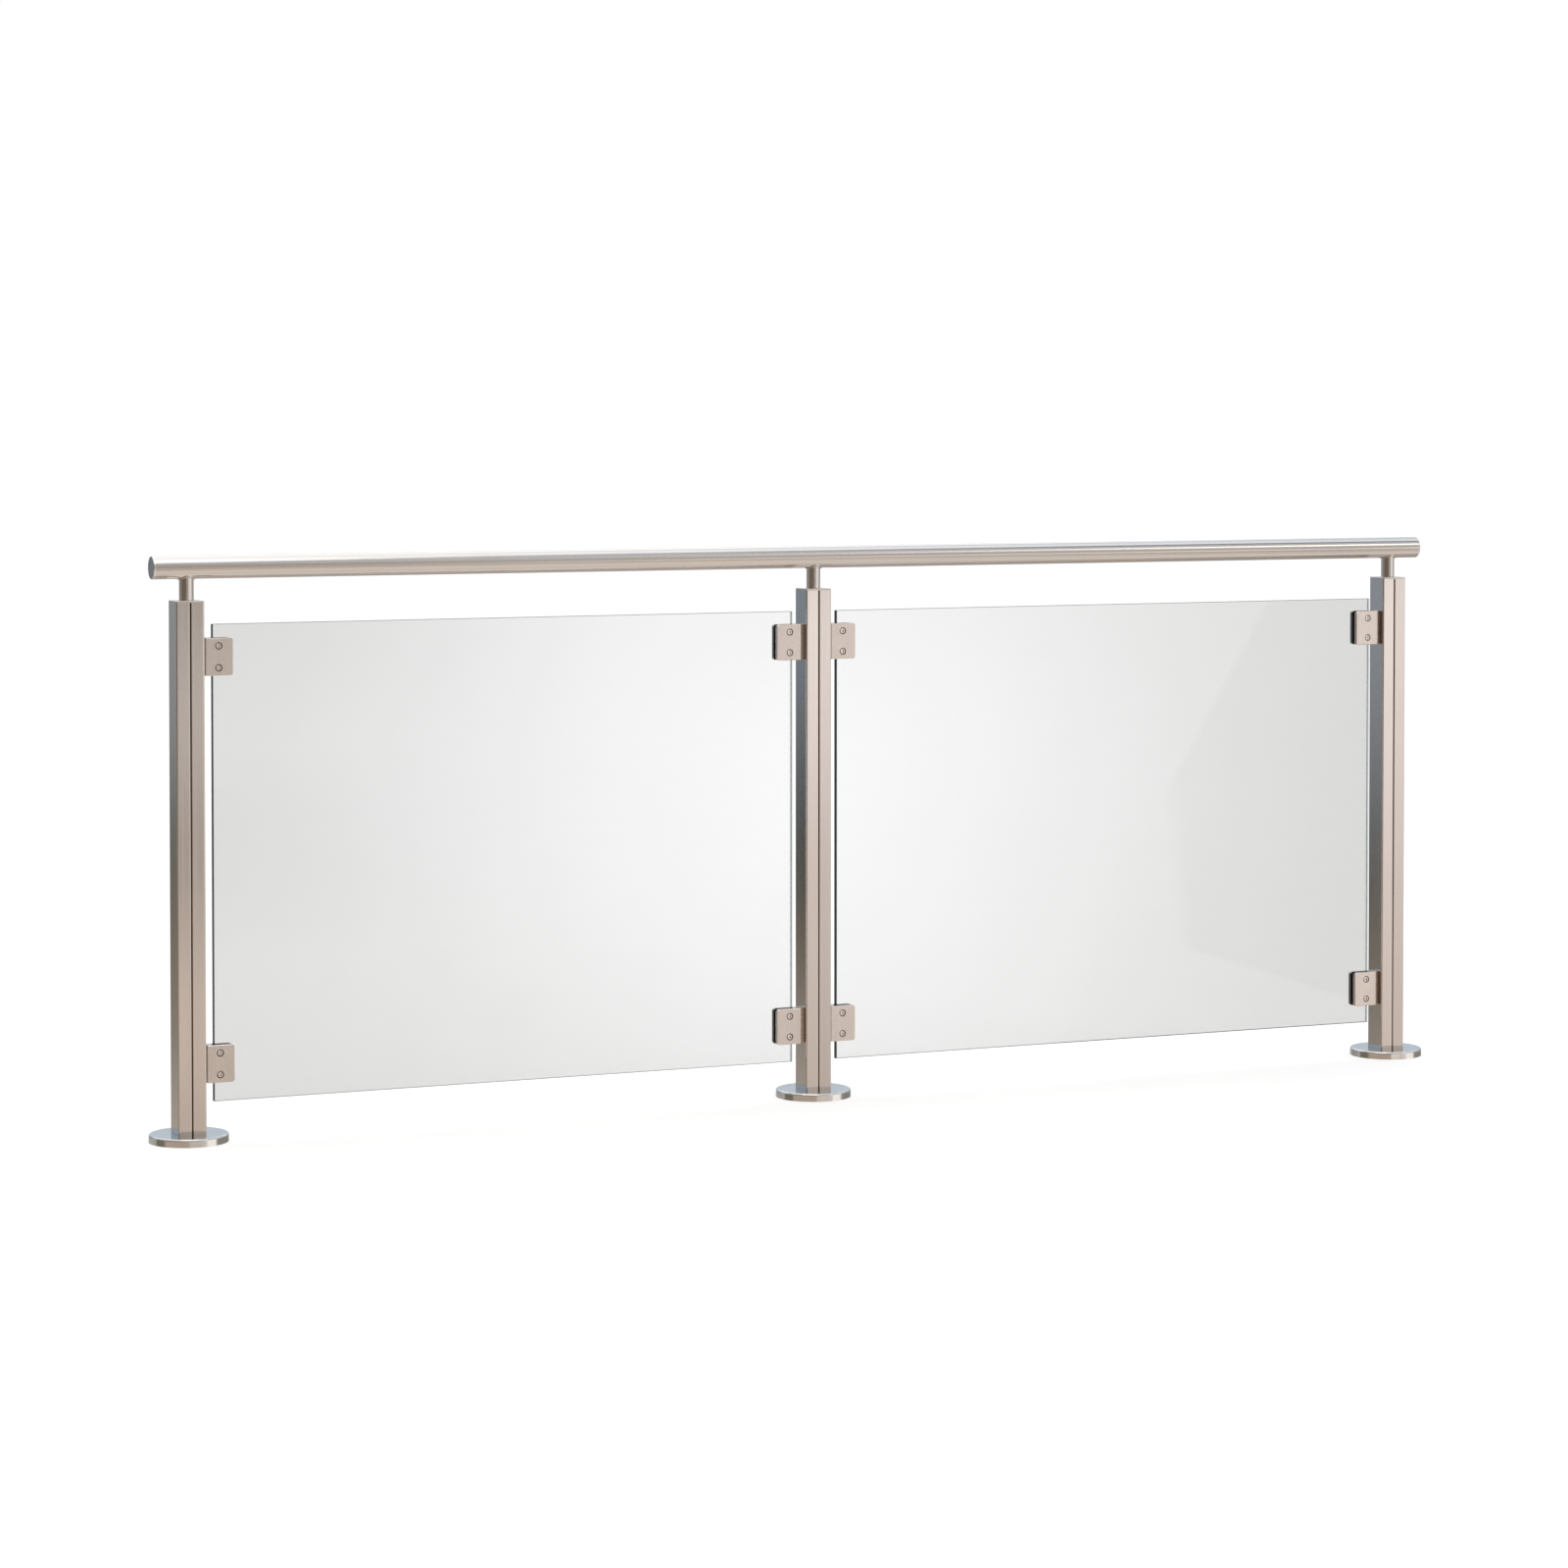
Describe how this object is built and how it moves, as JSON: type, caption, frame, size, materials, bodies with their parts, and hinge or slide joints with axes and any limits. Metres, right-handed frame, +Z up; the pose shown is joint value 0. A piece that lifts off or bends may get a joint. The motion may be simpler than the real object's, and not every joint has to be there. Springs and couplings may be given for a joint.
{
  "type": "acrylic railing panel",
  "caption": "Stainless steel railing section with clear acrylic panels held by square clamps between double-tube posts, under a round handrail.",
  "frame": {"origin": "on the floor under the middle of the handrail", "axes": "+X along the handrail to the right as seen from the screw side, +Y away from the screw side, +Z up"},
  "size_m": [2.532, 0.137, 1.007],
  "materials": {
    "brushed_steel": "brushed along the length",
    "clamp_steel": "fine satin",
    "plug_steel": "turned face",
    "polished_steel": "polished, turned",
    "foot_steel": "mill finish",
    "screw_steel": "plain",
    "clear_panel": "clear, polished edges",
    "pad_rubber": "matte"
  },
  "bodies": {
    "root": {"handrail_tube": "brushed_steel", "handrail_plug_left": "plug_steel", "handrail_plug_right": "plug_steel", "left_saddle": "brushed_steel", "left_stem": "brushed_steel", "left_post_cap": "brushed_steel", "left_post_tube_1": "brushed_steel", "left_post_tube_2": "brushed_steel", "left_base_plate": "foot_steel", "left_base_cover": "polished_steel", "middle_saddle": "brushed_steel", "middle_stem": "brushed_steel", "middle_post_cap": "brushed_steel", "middle_post_tube_1": "brushed_steel", "middle_post_tube_2": "brushed_steel", "middle_base_plate": "foot_steel", "middle_base_cover": "polished_steel", "right_saddle": "brushed_steel", "right_stem": "brushed_steel", "right_post_cap": "brushed_steel", "right_post_tube_1": "brushed_steel", "right_post_tube_2": "brushed_steel", "right_base_plate": "foot_steel", "right_base_cover": "polished_steel", "left_panel": "clear_panel", "right_panel": "clear_panel", "left_panel_upper_left_clamp_back": "clamp_steel", "left_panel_upper_left_clamp_front": "clamp_steel", "left_panel_upper_left_clamp_pads": "pad_rubber", "left_panel_upper_right_clamp_back": "clamp_steel", "left_panel_upper_right_clamp_front": "clamp_steel", "left_panel_upper_right_clamp_pads": "pad_rubber", "left_panel_lower_left_clamp_back": "clamp_steel", "left_panel_lower_left_clamp_front": "clamp_steel", "left_panel_lower_left_clamp_pads": "pad_rubber", "left_panel_lower_right_clamp_back": "clamp_steel", "left_panel_lower_right_clamp_front": "clamp_steel", "left_panel_lower_right_clamp_pads": "pad_rubber", "right_panel_upper_left_clamp_back": "clamp_steel", "right_panel_upper_left_clamp_front": "clamp_steel", "right_panel_upper_left_clamp_pads": "pad_rubber", "right_panel_upper_right_clamp_back": "clamp_steel", "right_panel_upper_right_clamp_front": "clamp_steel", "right_panel_upper_right_clamp_pads": "pad_rubber", "right_panel_lower_left_clamp_back": "clamp_steel", "right_panel_lower_left_clamp_front": "clamp_steel", "right_panel_lower_left_clamp_pads": "pad_rubber", "right_panel_lower_right_clamp_back": "clamp_steel", "right_panel_lower_right_clamp_front": "clamp_steel", "right_panel_lower_right_clamp_pads": "pad_rubber", "clamp_screws": "screw_steel", "clamp_mounting_screws": "screw_steel", "blind_nuts": "screw_steel"}
  },
  "joints": []
}
